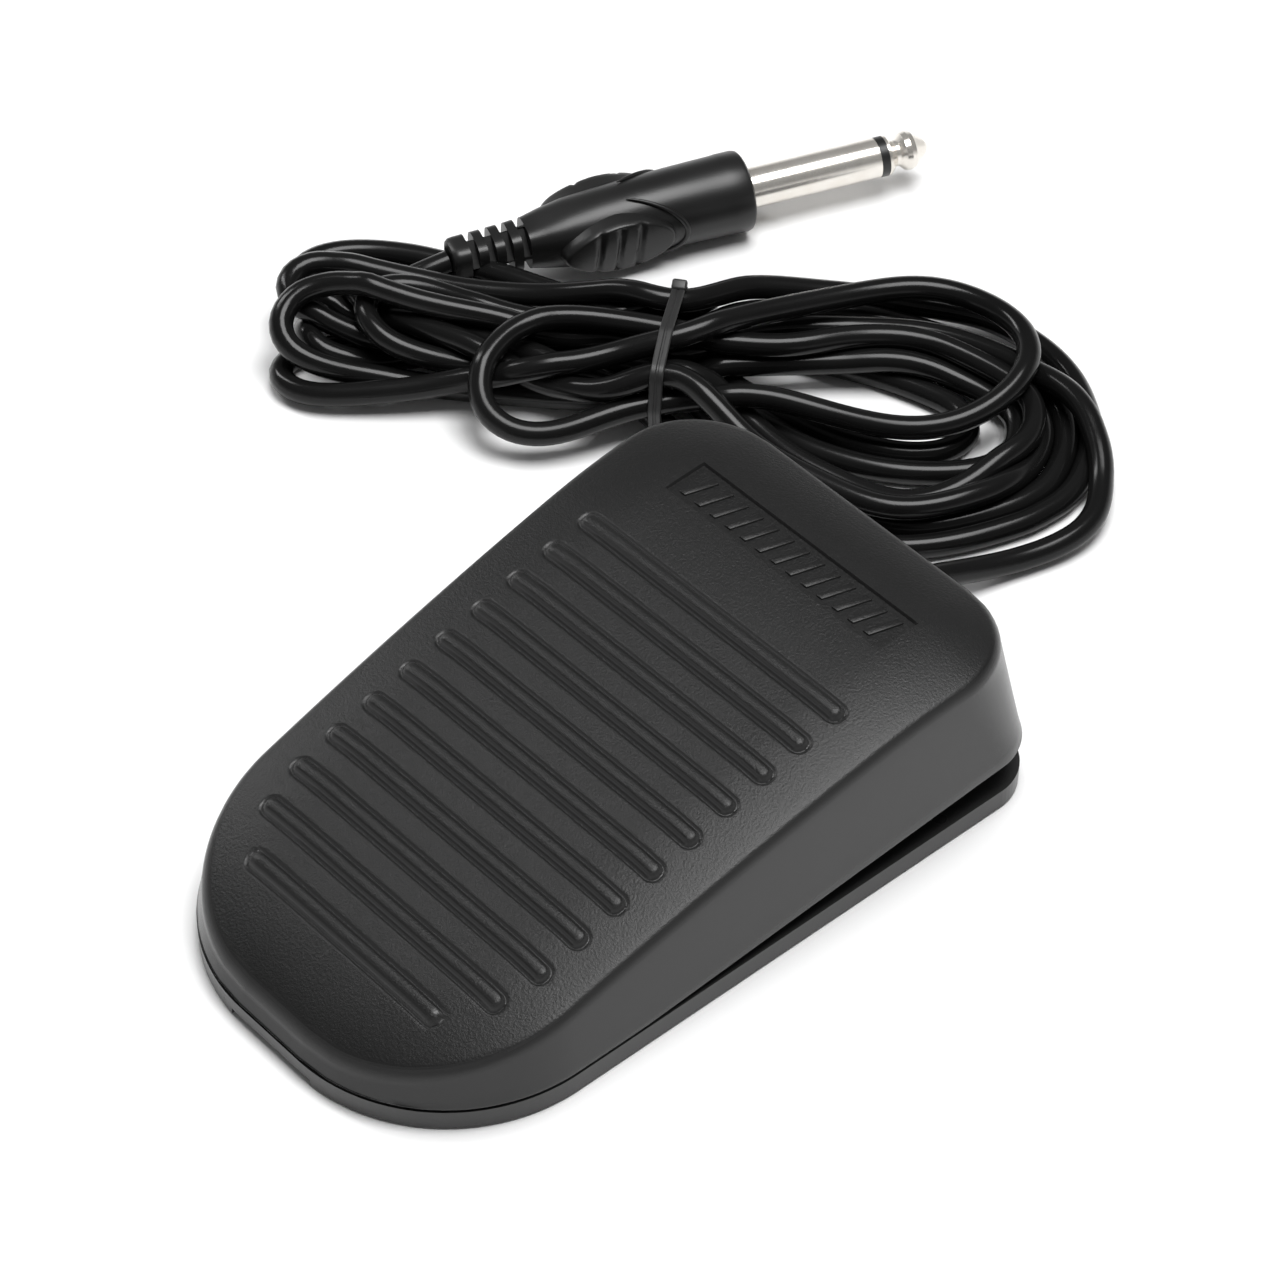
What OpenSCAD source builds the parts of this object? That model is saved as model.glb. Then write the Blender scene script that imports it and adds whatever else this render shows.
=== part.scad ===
// Sustain foot pedal with a tied cord and a 6.35 mm plug. Millimetres, +Z up,
// +Y towards the tall end where the cord leaves, z = 0 on the floor.

/* [Body] */
// Width across the tall end, of the base and of the cover at its bottom edge
body_w = 68.6; // [66:0.2:72]
// Width across the low end, where the sides meet its round
low_w = 64; // [62:0.5:66]
// Length of the base and of the cover at its bottom edge
body_l = 108.6; // [106:0.2:112]
// Corner radius of the low end, in plan
low_r = 26; // [22:0.5:28]
// Corner radius of the tall end, in plan, at the bottom edge
tall_r = 8; // [7:0.5:10]
// Corner radius of the tall end, in plan, at the top edge of the cover
top_r = 15; // [13:0.5:16]
// Height of the base plate's underside above the floor
base_lift = 0.4; // [0.3:0.1:0.8]
// Height of the base plate's top above the floor
base_top = 3.5; // [3.3:0.1:3.7]

/* [Cover] */
// Wall thickness of the cover's sides
wall = 2; // [1.6:0.1:2.2]
// Thickness of the cover's top
roof = 2.2; // [1.8:0.1:2.4]
// Rounding of the cover's top edge
edge_r = 3.4; // [3:0.1:4]
// How far the side walls lean in from bottom to top
draft = 0.9; // [0.6:0.1:1.2]
// Height of the tread at the rib nearest the tall end
tread_z = 27.8; // [27:0.1:28.5]
// Slope of the tread at that rib
tread_slope = 0.168; // [0.15:0.002:0.18]
// Gap between the cover's front skirt and the base at rest
parting = 0.3; // [0.3:0.05:0.4]

/* [Ribs] */
// Number of raised ribs across the tread
rib_count = 11; // [8:1:11]
// Distance between ribs, along the pedal
rib_pitch = 6.45; // [6:0.05:6.45]
// Width of one rib
rib_w = 2.4; // [2:0.1:2.8]
// Height of a rib above the tread
rib_h = 0.7; // [0.5:0.1:1]

/* [Hinge] */
// Angle that the cover turns when it is fully pressed
press_deg = 4; // [3:0.1:4]
// Position of the hinge axis along the pedal
hinge_y = -18; // [-19:0.5:-17]
// Height of the hinge axis above the floor
hinge_z = 8; // [8:0.1:8.4]
// Radius of the steel hinge pins
pin_r = 1.5; // [1.2:0.1:1.6]
// Radial running clearance of the cover's lugs on the pins
pin_fit = 0.05; // [0.03:0.01:0.08]

/* [Spring] */
// Position of the return spring along the pedal
spring_y = 26; // [24:0.5:27]
// Radius to the middle of the spring wire
spring_r = 4.4; // [4.2:0.1:4.6]
// Radius of the spring wire
spring_wire_r = 0.5; // [0.4:0.05:0.55]

/* [Switch] */
// Position of the switch plunger along the pedal
switch_y = 4; // [3:0.5:5]
// Radius of the switch plunger's stem
plunger_r = 2; // [1.8:0.1:2.2]

/* [Cord and plug] */
// Radius of the cord
cord_r = 1.85; // [1.7:0.05:1.9]
// Height of the cord where it leaves the base
cord_exit_z = 7.5; // [7.4:0.1:7.7]
// Radius of the plug's metal sleeve
sleeve_r = 3.175; // [3.175:0.001:3.176]
// Length of the plug's metal sleeve
sleeve_l = 22; // [21:0.5:23]
// Direction that the plug points in, from +X towards +Y
plug_deg = 68; // [66:1:70]

/* [Hidden] */

$fn = 64;
half_w = body_w / 2;
tall_y = 54;
low_y = tall_y - body_l;
low_centre = [low_w / 2 - low_r, low_y + low_r];
function tall_centre(r) = [half_w - r, tall_y - r];

// The cover's bottom edge lies flat ahead of the hinge and rises behind it, so that
// the gap closes evenly when the cover is pressed.
skirt_z = base_top + parting;
rib_1_y = 23;
low_curve = -0.001;
tall_curve = -0.005;
bridge_h = 0.4;

// Height of the tread at a distance y along the pedal.
function tread_curve(t) = t < 0 ? low_curve : tall_curve;
function tread(y) =
    let (t = y - rib_1_y) tread_z + tread_slope * t + tread_curve(t) * t * t;
function tread_deg(y) =
    let (t = y - rib_1_y) atan(tread_slope + 2 * tread_curve(t) * t);
function ceiling(y) = tread(y) - roof;
function skirt(y) = skirt_z + max(0, y - hinge_y) * tan(press_deg);

// Rounded plan outline, inset all round by d, with corners of radius r at the tall end:
// the right side from the low end to the tall end, and the same points mirrored on the
// left side in reverse order. The sides touch both rounds, so they turn by side_deg.
arc_steps = 12;
tall_steps = 7;
side_steps = 10;
function arc_point(c, r, a) = [c[0] + r * cos(a), c[1] + r * sin(a)];
function side_deg(r) = let (v = tall_centre(r) - low_centre)
    atan2(v[1], v[0]) - acos((low_r - r) / norm(v));
function right_side(d, r) = let (
    turn = side_deg(r),
    low_arc = [for (i = [0 : arc_steps])
        arc_point(low_centre, low_r - d, -90 + (90 + turn) * i / arc_steps)],
    tall_arc = [for (i = [0 : tall_steps])
        arc_point(tall_centre(r), r - d, turn + (90 - turn) * i / tall_steps)],
    start = low_arc[arc_steps])
    concat(low_arc,
        [for (i = [1 : side_steps - 1]) start + (tall_arc[0] - start) * i / side_steps],
        tall_arc);
function mirrored(side) = [for (i = [len(side) - 1 : -1 : 0]) [-side[i][0], side[i][1]]];
function outline(d, r) = concat(right_side(d, r), mirrored(right_side(d, r)));
side_count = len(right_side(0, tall_r));
ring_count = 2 * side_count;

// Rings of the cover, from the outer bottom edge over the rounded top edge, and from
// the underside of the roof down to the inner bottom edge.
edge_steps = 5;
function outer_wall() = [for (p = outline(0, tall_r)) [p[0], p[1], skirt(p[1])]];
function outer_edge(a) = [for (p = outline(draft + edge_r * (1 - cos(a)), top_r))
    [p[0], p[1], tread(p[1]) - edge_r * (1 - sin(a))]];
function inner_top() = [for (p = outline(wall + draft, top_r)) [p[0], p[1], ceiling(p[1])]];
function inner_bottom() = [for (p = outline(wall, tall_r)) [p[0], p[1], skirt(p[1])]];
function cover_rings() = concat([outer_wall()],
    [for (i = [0 : edge_steps]) outer_edge(90 * i / edge_steps)],
    [inner_top(), inner_bottom()]);
top_ring = edge_steps + 1;
ceiling_ring = top_ring + 1;
last_ring = ceiling_ring + 1;

// Faces between ring a and ring b, and the strips across a ring that joins its right
// side to its left side.
function band(a, b) = [for (i = [0 : ring_count - 1])
    let (j = (i + 1) % ring_count)
    each [[a * ring_count + i, b * ring_count + i, b * ring_count + j],
          [a * ring_count + i, b * ring_count + j, a * ring_count + j]]];
function strips(ring, up) = [for (i = [0 : side_count - 2])
    let (r0 = ring * ring_count + i, r1 = r0 + 1,
         l0 = ring * ring_count + ring_count - 1 - i, l1 = l0 - 1)
    up ? [r0, l0, l1, r1] : [r0, r1, l1, l0]];

// Swept tube: rings of points about each point of a path, closed at both ends.
function unit(v) = v / norm(v);
function direction(path, i) =
    unit(path[min(i + 1, len(path) - 1)] - path[max(i - 1, 0)]);
function level(d) = let (s = cross([0, 0, 1], d)) norm(s) > 0.001 ? unit(s) : [1, 0, 0];
function tube_ring(path, i, r, sides) =
    let (d = direction(path, i), s = level(d), u = cross(d, s))
    [for (k = [0 : sides - 1])
        path[i] + r * (cos(360 * k / sides) * s + sin(360 * k / sides) * u)];
module tube(path, r, sides) {
    n = len(path);
    points = [for (i = [0 : n - 1]) each tube_ring(path, i, r, sides)];
    walls = [for (i = [0 : n - 2], k = [0 : sides - 1])
        let (a = i * sides + k, b = i * sides + (k + 1) % sides)
        each [[a, a + sides, b + sides], [a, b + sides, b]]];
    start_cap = [[for (k = [0 : sides - 1]) k]];
    end_cap = [[for (k = [sides - 1 : -1 : 0]) (n - 1) * sides + k]];
    polyhedron(points, concat(walls, start_cap, end_cap));
}

// Smooth curve through route points, with a number of steps between each two.
function knot(p, i) = p[max(0, min(len(p) - 1, i))];
function through(a, b, c, d, t) = 0.5 * (2 * b + (c - a) * t
    + (2 * a - 5 * b + 4 * c - d) * t * t + (3 * b - a - 3 * c + d) * t * t * t);
function smooth(p, steps) = concat(
    [for (i = [0 : len(p) - 2], j = [0 : steps - 1])
        through(knot(p, i - 1), knot(p, i), knot(p, i + 1), knot(p, i + 2), j / steps)],
    [p[len(p) - 1]]);

// Cord route from the clamp, out of the tall end and down to the floor.
jacket_y = 38;
tail_route = [
    [0, jacket_y, cord_exit_z], [0, 46, cord_exit_z], [0, 54, cord_exit_z],
    [0, 62, 7], [1, 70, 4.5], [3, 78, 2.3], [5, 86, 2], [5, 93, 2],
    [2, 99, 2], [-3, 104, 2], [-9, 108, 2]
];
// Cord route from the hank to the plug.
lead_route = [
    [-103, 41, 2], [-102, 46, 2.4], [-100, 51, 4], [-98, 55, 5.6], [-96.5, 58.9, 6.4]
];
// Wires from the end of the cord's jacket to the switch terminals.
wire_r = 0.6;
wire_route = [
    [0.8, jacket_y + 2, cord_exit_z], [2, 36, 7], [6, 33, 6], [8.5, 28, 5.5],
    [9.5, 20, 5.5], [9.5, 12, 6], [9, 7, 6.6], [8.1, switch_y + 1.2, 6.7]
];

// Round lugs and ears of the hinge.
lug_r = 4;
ear_x = [15.5, 20];
lug_x = [20.4, 25.4];
module across(x, r) {
    translate([x[0], hinge_y, hinge_z]) rotate([0, 90, 0]) cylinder(r = r, h = x[1] - x[0]);
}
module both_sides() {
    children();
    mirror([1, 0, 0]) children();
}

module plan() {
    hull() both_sides() {
        translate(low_centre) circle(low_r, $fn = 128);
        translate(tall_centre(tall_r)) circle(tall_r);
    }
}

// ---- Cover ----
module cover_shell() {
    points = [for (ring = cover_rings()) each ring];
    bands = [for (i = [0 : top_ring - 1]) each band(i, i + 1)];
    inner = band(ceiling_ring, last_ring);
    rim = band(last_ring, 0);
    polyhedron(points, concat(bands, inner, rim,
        strips(top_ring, true), strips(ceiling_ring, false)), convexity = 6);
}

// Half length of each rib: full across the sides, shorter in the round low end.
rib_half = 25.2;
rib_arc = [7.5, -28, 17.7];
function low_end_x(y) = rib_arc[0]
    + sqrt(max(0, pow(rib_arc[2], 2) - pow(min(0, y - rib_arc[1]), 2)));
function rib_y(i) = rib_1_y - rib_pitch * i;
function rib_len(i) = min(rib_half, low_end_x(rib_y(i)));
module rib(i) {
    y = rib_y(i);
    end_x = rib_len(i) - rib_w / 2;
    bury = 1;
    translate([0, y, tread(y)]) rotate([tread_deg(y), 0, 0])
        translate([0, 0, -bury]) linear_extrude(bury + rib_h) {
            square([2 * end_x, rib_w], center = true);
            for (s = [-1, 1]) translate([s * end_x, 0]) circle(rib_w / 2, $fn = 32);
        }
}

// Recessed panel near the tall end, filled with slanted bars.
panel = [41.8, 7.2];
panel_y = 37.8;
panel_depth = 0.6;
bar_count = 13;
bar_pitch = 3;
bar_w = 1.2;
bar_slant = 1.6;
bar_half = 2.5;
panel_z = tread(panel_y) - panel_depth;
module panel_recess() {
    translate([-panel[0] / 2, panel_y - panel[1] / 2, panel_z]) cube([panel[0], panel[1], 3]);
}
module panel_bars() {
    for (i = [0 : bar_count - 1])
        translate([(i - (bar_count - 1) / 2) * bar_pitch, panel_y, panel_z - 0.3])
            linear_extrude(0.3 + panel_depth / 2) polygon([
                [-bar_w / 2 - bar_slant / 2, -bar_half], [bar_w / 2 - bar_slant / 2, -bar_half],
                [bar_w / 2 + bar_slant / 2, bar_half], [-bar_w / 2 + bar_slant / 2, bar_half]]);
}

// Posts that hang from the roof.
module post(x, y, r, z) {
    translate([x, y, z]) cylinder(r = r, h = ceiling(y) + roof / 2 - z);
}
spring_top = 20;
post_r = 2.5;
plunger_top = 13;
plunger_gap = 0.3;
stop_x = 24;
stop_y = 44;
stop_z = 9.8;
stud_r = spring_r - spring_wire_r - 0.3;
module lug() {
    difference() {
        union() {
            across(lug_x, lug_r);
            translate([lug_x[0], 0, 0]) rotate([90, 0, 90])
                linear_extrude(lug_x[1] - lug_x[0]) polygon([
                    [hinge_y - lug_r, hinge_z], [hinge_y + lug_r, hinge_z],
                    [hinge_y + lug_r, ceiling(hinge_y + lug_r) + roof / 2],
                    [hinge_y - lug_r, ceiling(hinge_y - lug_r) + roof / 2]]);
        }
        across([lug_x[0] - 1, lug_x[1] + 1], pin_r + pin_fit);
    }
}
// Arched notch in the tall end wall, for the grommet's tail.
notch_r = 4;
notch_top = 12;
module cord_notch() {
    translate([0, tall_y + 1, notch_top]) rotate([90, 0, 0]) cylinder(r = notch_r, h = 6);
    translate([-notch_r, tall_y - 5, 0]) cube([2 * notch_r, 6, notch_top]);
}
module pedal_cover() {
    color([0.05, 0.05, 0.055]) {
        difference() {
            cover_shell();
            panel_recess();
            cord_notch();
        }
        panel_bars();
        for (i = [0 : rib_count - 1]) rib(i);
        both_sides() {
            lug();
            post(stop_x, stop_y, post_r, stop_z);
        }
        post(0, switch_y, post_r, plunger_top + plunger_gap);
        post(0, spring_y, spring_r + 1.6, spring_top);
        post(0, spring_y, stud_r, spring_top - 2.5);
    }
}

// ---- Base ----
foot_r = 4.5;
foot_h = 1.2;
foot_at = [[23, 42], [-23, 42], [15, -38], [-15, -38]];
screw_r = 0.9;
screw_head_r = 1.9;
switch_size = [13, 10, 7];
switch_ear = 3.6;
switch_screw_y = switch_size[1] / 2 + 1.9;
clamp_size = [16, 5];
clamp_y = 41.5;
clamp_screw_x = 5.4;
gland_y = [47.4, 50.4];
gland_w = 14;
gland_top = 11.6;
groove_r = 2.9;
grip_notch = [16, 1.2, 1.4];
module along_y(y, r) {
    translate([0, y[0], cord_exit_z]) rotate([-90, 0, 0]) cylinder(r = r, h = y[1] - y[0]);
}
module ear() {
    difference() {
        union() {
            across(ear_x, lug_r);
            translate([ear_x[0], hinge_y - lug_r, base_top - 1])
                cube([ear_x[1] - ear_x[0], 2 * lug_r, hinge_z - base_top + 1]);
        }
        across([ear_x[0] - 1, ear_x[1] + 1], pin_r);
    }
}
module gland() {
    difference() {
        translate([-gland_w / 2, gland_y[0], base_top - 1])
            cube([gland_w, gland_y[1] - gland_y[0], gland_top - base_top + 1]);
        along_y([gland_y[0] - 1, gland_y[1] + 1], groove_r);
        translate([-groove_r, gland_y[0] - 1, cord_exit_z]) cube([2 * groove_r, 6, 9]);
    }
}
module clamp_block() {
    difference() {
        translate([-clamp_size[0] / 2, clamp_y - clamp_size[1] / 2, base_top - 1])
            cube([clamp_size[0], clamp_size[1], cord_exit_z - base_top + 0.8]);
        along_y([clamp_y - 4, clamp_y + 4], cord_r);
    }
}
module base_plate() {
    color([0.045, 0.045, 0.05]) difference() {
        union() {
            translate([0, 0, base_lift]) linear_extrude(base_top - base_lift) plan();
            both_sides() ear();
            gland();
            clamp_block();
            translate([0, spring_y, base_top - 1]) cylinder(r = stud_r, h = 4);
        }
        for (p = foot_at) translate([p[0], p[1], -1]) cylinder(r = foot_r, h = foot_h + 1);
        for (s = [-1, 1]) {
            translate([0, switch_y + s * switch_screw_y, 1.2]) cylinder(r = screw_r, h = 5);
            translate([s * clamp_screw_x, clamp_y, 1.2]) cylinder(r = screw_r, h = 9);
        }
        translate([-grip_notch[0] / 2, low_y - 1, -1])
            cube([grip_notch[0], grip_notch[1] + 1, grip_notch[2] + 1]);
    }
}

module rubber_feet() {
    color([0.03, 0.03, 0.03])
        for (p = foot_at) translate([p[0], p[1], 0]) cylinder(r = foot_r, h = foot_h);
}

bumper_r = 3.5;
bumper_h = 1.6;
module stop_bumpers() {
    color([0.03, 0.03, 0.03]) both_sides()
        translate([stop_x, stop_y, base_top]) cylinder(r = bumper_r, h = bumper_h);
}

// Headed steel pin, pressed into the ear and running in the cover's lug.
pin_head_r = 2.6;
pin_head = 1;
module hinge_pin() {
    color([0.75, 0.75, 0.77]) {
        across([ear_x[0] - pin_head, ear_x[0]], pin_head_r);
        across([ear_x[0] - pin_head, lug_x[1] - 0.3], pin_r);
    }
}
module hinge_pin_right() {
    hinge_pin();
}
module hinge_pin_left() {
    mirror([1, 0, 0]) hinge_pin();
}

// Helix whose first and last turns lie flat.
function coil_z(t, turns, low, high, wire_r) =
    let (free = high - low - 6 * wire_r, mid = turns - 2)
    low + wire_r + min(t, 1) * 2 * wire_r
    + max(0, min(t - 1, mid)) / mid * free + max(0, t - 1 - mid) * 2 * wire_r;
module coil(r, wire_r, low, high, turns, steps) {
    tube([for (i = [0 : turns * steps])
        [r * cos(360 * i / steps), r * sin(360 * i / steps),
         coil_z(i / steps, turns, low, high, wire_r)]], wire_r, 6);
}
spring_turns = 7;
spring_steps = 16;
air = 0.1;
module return_spring() {
    color([0.7, 0.7, 0.72]) translate([0, spring_y, 0])
        coil(spring_r, spring_wire_r, base_top, spring_top - air, spring_turns, spring_steps);
}

// ---- Switch ----
switch_wall = 1.2;
switch_lid_z = base_top + switch_size[2];
lid_h = 1;
flange_r = 3.2;
flange_z = [9.2, 10.2];
terminal_z = [6.4, 6.8];
terminal_x = [2.2, 9];
terminal_w = 2.4;
module screw(z, depth) {
    translate([0, 0, z]) {
        difference() {
            cylinder(r = screw_head_r, h = 1.3);
            translate([-screw_head_r, -0.25, 0.8]) cube([2 * screw_head_r, 0.5, 1]);
        }
        translate([0, 0, -depth]) cylinder(r = screw_r, h = depth);
    }
}
switch_ear_h = 2;
module terminal() {
    translate([terminal_x[0], switch_y - terminal_w / 2, terminal_z[0]]) difference() {
        cube([terminal_x[1] - terminal_x[0], terminal_w, terminal_z[1] - terminal_z[0]]);
        translate([terminal_x[1] - terminal_x[0] - 1, terminal_w / 2, -1])
            cylinder(r = 0.45, h = 3, $fn = 24);
    }
}
module terminal_gap() {
    translate([0, switch_y - terminal_w / 2, terminal_z[0]])
        cube([terminal_x[1] + 1, terminal_w, terminal_z[1] - terminal_z[0]]);
}
module switch_body() {
    inside = [switch_size[0] - 2 * switch_wall, switch_size[1] - 2 * switch_wall];
    ear_l = switch_size[1] + 2 * switch_ear;
    color([0.1, 0.1, 0.12]) difference() {
        union() {
            translate([-switch_size[0] / 2, switch_y - switch_size[1] / 2, base_top])
                cube(switch_size);
            translate([-3, switch_y - ear_l / 2, base_top]) cube([6, ear_l, switch_ear_h]);
        }
        translate([-inside[0] / 2, switch_y - inside[1] / 2, base_top + switch_wall])
            cube([inside[0], inside[1], switch_size[2]]);
        both_sides() terminal_gap();
        for (s = [-1, 1])
            translate([0, switch_y + s * switch_screw_y, 0]) cylinder(r = screw_r, h = 9);
    }
}
module switch_lid() {
    color([0.15, 0.15, 0.17])
        translate([0, switch_y, switch_lid_z]) difference() {
            translate([-switch_size[0] / 2, -switch_size[1] / 2, 0])
                cube([switch_size[0], switch_size[1], lid_h]);
            translate([0, 0, -1]) cylinder(r = plunger_r + 0.05, h = lid_h + 2);
        }
}
module switch_plunger() {
    color([0.75, 0.1, 0.08]) translate([0, switch_y, 0]) {
        translate([0, 0, flange_z[0]]) cylinder(r = flange_r, h = flange_z[1] - flange_z[0]);
        translate([0, 0, flange_z[1]]) cylinder(r = plunger_r, h = plunger_top - flange_z[1]);
    }
}
module contact_bridge() {
    color([0.8, 0.62, 0.25]) translate([0, switch_y, flange_z[0] - bridge_h])
        cylinder(r = 3, h = bridge_h);
}
switch_spring_r = 1.3;
switch_wire_r = 0.2;
module switch_spring() {
    color([0.7, 0.7, 0.72]) translate([0, switch_y, 0])
        coil(switch_spring_r, switch_wire_r, base_top + switch_wall,
             flange_z[0] - bridge_h - air, 6, 12);
}
module terminal_right() {
    color([0.8, 0.62, 0.25]) terminal();
}
module terminal_left() {
    color([0.8, 0.62, 0.25]) mirror([1, 0, 0]) terminal();
}
module switch_screws() {
    color([0.7, 0.7, 0.72]) for (s = [-1, 1])
        translate([0, switch_y + s * switch_screw_y, 0])
            screw(base_top + switch_ear_h, base_top + switch_ear_h - 1.2);
}
module lead_wires() {
    color([0.5, 0.08, 0.06]) tube(smooth(wire_route, 3), wire_r, 6);
    color([0.8, 0.8, 0.78]) mirror([1, 0, 0]) tube(smooth(wire_route, 3), wire_r, 6);
}

// ---- Cord ----
clamp_gap = 0.4;
clamp_h = 2.6;
module cord_clamp() {
    color([0.08, 0.08, 0.09]) difference() {
        translate([-clamp_size[0] / 2, clamp_y - clamp_size[1] / 2,
                   cord_exit_z - 0.2 + clamp_gap])
            cube([clamp_size[0], clamp_size[1], clamp_h]);
        along_y([clamp_y - 4, clamp_y + 4], cord_r);
        for (s = [-1, 1])
            translate([s * clamp_screw_x, clamp_y, 0]) cylinder(r = screw_r, h = 20);
    }
}
module clamp_screws() {
    top = cord_exit_z - 0.2 + clamp_gap + clamp_h;
    color([0.7, 0.7, 0.72]) for (s = [-1, 1])
        translate([s * clamp_screw_x, clamp_y, 0]) screw(top, top - 1.2);
}

// Grommet: a groove that sits in the gland, with a tapered tail outside.
grommet_r = 3.8;
tail_end_r = 2.4;
tail_end_y = 62;
module cord_grommet() {
    y0 = gland_y[0];
    y1 = gland_y[1];
    color([0.04, 0.04, 0.045]) translate([0, 0, cord_exit_z]) rotate([-90, 0, 0])
        rotate_extrude() polygon([
            [cord_r, y0 - 1.8], [grommet_r - 0.4, y0 - 1.8], [grommet_r, y0 - 1.4],
            [grommet_r, y0], [groove_r, y0], [groove_r, y1], [grommet_r, y1],
            [grommet_r, y1 + 0.8], [groove_r, y1 + 0.8], [tail_end_r, tail_end_y],
            [cord_r, tail_end_y]]);
}
module cord_tail() {
    color([0.04, 0.04, 0.045]) tube(smooth(tail_route, 4), cord_r, 8);
}
module cord_lead() {
    color([0.04, 0.04, 0.045]) tube(smooth(lead_route, 4), cord_r, 8);
}

// The tied hank: two lobes of loops that narrow to the tie between them.
hank_left = [[-98, 40], 12];
hank_waist = [[-57.5, 68.5], 10];
hank_near = [[-66, 53], 10];
hank_right = [[-21, 90], 25];
hank_h = 12;
module disc(d) {
    translate(d[0]) circle(d[1], $fn = 48);
}
module cord_hank() {
    color([0.04, 0.04, 0.045]) linear_extrude(hank_h) {
        hull() {
            disc(hank_left);
            disc(hank_waist);
        }
        hull() {
            disc(hank_near);
            disc(hank_waist);
        }
        hull() {
            disc(hank_right);
            disc(hank_waist);
        }
    }
}
tie_deg = 37;
tie_w = 2;
tie_t = 1.2;
module cord_tie() {
    half = hank_waist[1] + tie_t;
    color([0.03, 0.03, 0.03]) translate([hank_waist[0][0], hank_waist[0][1], 0])
        rotate([0, 0, tie_deg]) difference() {
            translate([-tie_w / 2, -half, 0]) cube([tie_w, 2 * half, hank_h + tie_t]);
            translate([-tie_w, -half + tie_t, tie_t])
                cube([2 * tie_w, 2 * (half - tie_t), hank_h - tie_t]);
        }
}

// ---- Plug ----
// The plug's own axis runs from the cord at negative x to the tip at positive x, with
// x = 0 at the barrel's face.
plug_at = [-78.5, 103.5, 6.5];
ring_l = 1.4;
barrel_r = 6.4;
barrel_l = 48;
relief_r = 3.1;
pad_r = 4.6;
pad_x = [-25, -13];
pad_out = 7.2;
shank_l = 18;
shank_r = 2.8;
core_r = 2.3;
rod_r = 1.2;
collar_l = 0.4;
ball_r = sleeve_r - 0.075;
module on_plug() {
    translate(plug_at) rotate([0, 0, plug_deg]) children();
}
module turned() {
    on_plug() rotate([0, 90, 0]) rotate_extrude() children();
}
module plug_body() {
    color([0.04, 0.04, 0.045]) difference() {
        union() {
            turned() polygon([
                [0, -barrel_l], [relief_r - 0.3, -barrel_l], [relief_r, -barrel_l + 0.5],
                [relief_r + 0.3, -36], [4.2, -33], [5.6, -24], [6.2, -16], [barrel_r, -8],
                [barrel_r, -0.6], [barrel_r - 0.6, 0], [0, 0]]);
            on_plug() rotate([-90, 0, 0]) translate([0, 0, -pad_out])
                linear_extrude(2 * pad_out) {
                    for (x = pad_x) translate([x, 0]) circle(pad_r);
                    translate([pad_x[0], -pad_r]) square([pad_x[1] - pad_x[0], 2 * pad_r]);
                }
        }
        turned() translate([0, -shank_l]) square([shank_r, shank_l + 1]);
    }
}
module plug_sleeve() {
    color([0.8, 0.79, 0.76]) turned() polygon([
        [core_r, -shank_l], [shank_r, -shank_l], [shank_r, 0], [sleeve_r, 0],
        [sleeve_r, sleeve_l], [core_r, sleeve_l]]);
}
module plug_insulator() {
    color([0.03, 0.03, 0.03]) turned() polygon([
        [rod_r, -shank_l], [core_r, -shank_l], [core_r, sleeve_l], [sleeve_r, sleeve_l],
        [sleeve_r, sleeve_l + ring_l], [rod_r, sleeve_l + ring_l]]);
}
module plug_tip() {
    t = sleeve_l + ring_l;
    color([0.8, 0.79, 0.76]) turned() polygon([
        [0, -shank_l], [rod_r, -shank_l], [rod_r, t], [sleeve_r, t], [sleeve_r, t + collar_l],
        [2.1, t + 1.6], [2.1, t + 2.2], [2.9, t + 3], [ball_r, t + 3.8], [2.9, t + 4.6],
        [1.3, t + 6.6], [0.6, t + 7.1], [0, t + 7.1]]);
}

pedal_cover();
base_plate();
rubber_feet();
hinge_pin_left();
hinge_pin_right();
return_spring();
stop_bumpers();
switch_body();
switch_lid();
switch_plunger();
contact_bridge();
switch_spring();
terminal_left();
terminal_right();
switch_screws();
lead_wires();
cord_clamp();
clamp_screws();
cord_grommet();
cord_tail();
cord_hank();
cord_lead();
cord_tie();
plug_body();
plug_sleeve();
plug_insulator();
plug_tip();
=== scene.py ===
# Looks of the sustain pedal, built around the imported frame. Lengths here are in
# millimetres, and each mesh is made in metres in the frame's own coordinates.
from math import acos, atan2, cos, hypot, pi, radians, sin, sqrt, tan

import bmesh
import bpy
import numpy as np
from mathutils import Matrix, Vector


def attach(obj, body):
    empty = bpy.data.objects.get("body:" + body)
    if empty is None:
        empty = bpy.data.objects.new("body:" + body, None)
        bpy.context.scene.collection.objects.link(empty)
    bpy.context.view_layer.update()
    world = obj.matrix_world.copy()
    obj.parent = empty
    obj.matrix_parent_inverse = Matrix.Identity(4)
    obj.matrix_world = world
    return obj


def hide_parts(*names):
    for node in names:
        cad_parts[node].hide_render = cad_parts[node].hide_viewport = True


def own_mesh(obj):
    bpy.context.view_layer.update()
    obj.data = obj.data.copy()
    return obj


MM = 0.001
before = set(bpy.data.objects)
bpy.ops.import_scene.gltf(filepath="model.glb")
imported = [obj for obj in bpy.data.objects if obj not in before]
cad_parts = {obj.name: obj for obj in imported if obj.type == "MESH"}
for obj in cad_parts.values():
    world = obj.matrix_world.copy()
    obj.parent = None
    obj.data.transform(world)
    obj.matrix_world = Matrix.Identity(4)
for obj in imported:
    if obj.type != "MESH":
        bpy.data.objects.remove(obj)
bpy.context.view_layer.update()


# ---- Small helpers ----
def placed(name, data):
    """A new object in the scene, holding data."""
    obj = bpy.data.objects.new(name, data)
    bpy.context.scene.collection.objects.link(obj)
    return obj


def from_bmesh(name, bm):
    mesh = bpy.data.meshes.new(name)
    bm.to_mesh(mesh)
    bm.free()
    return placed(name, mesh)


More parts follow.
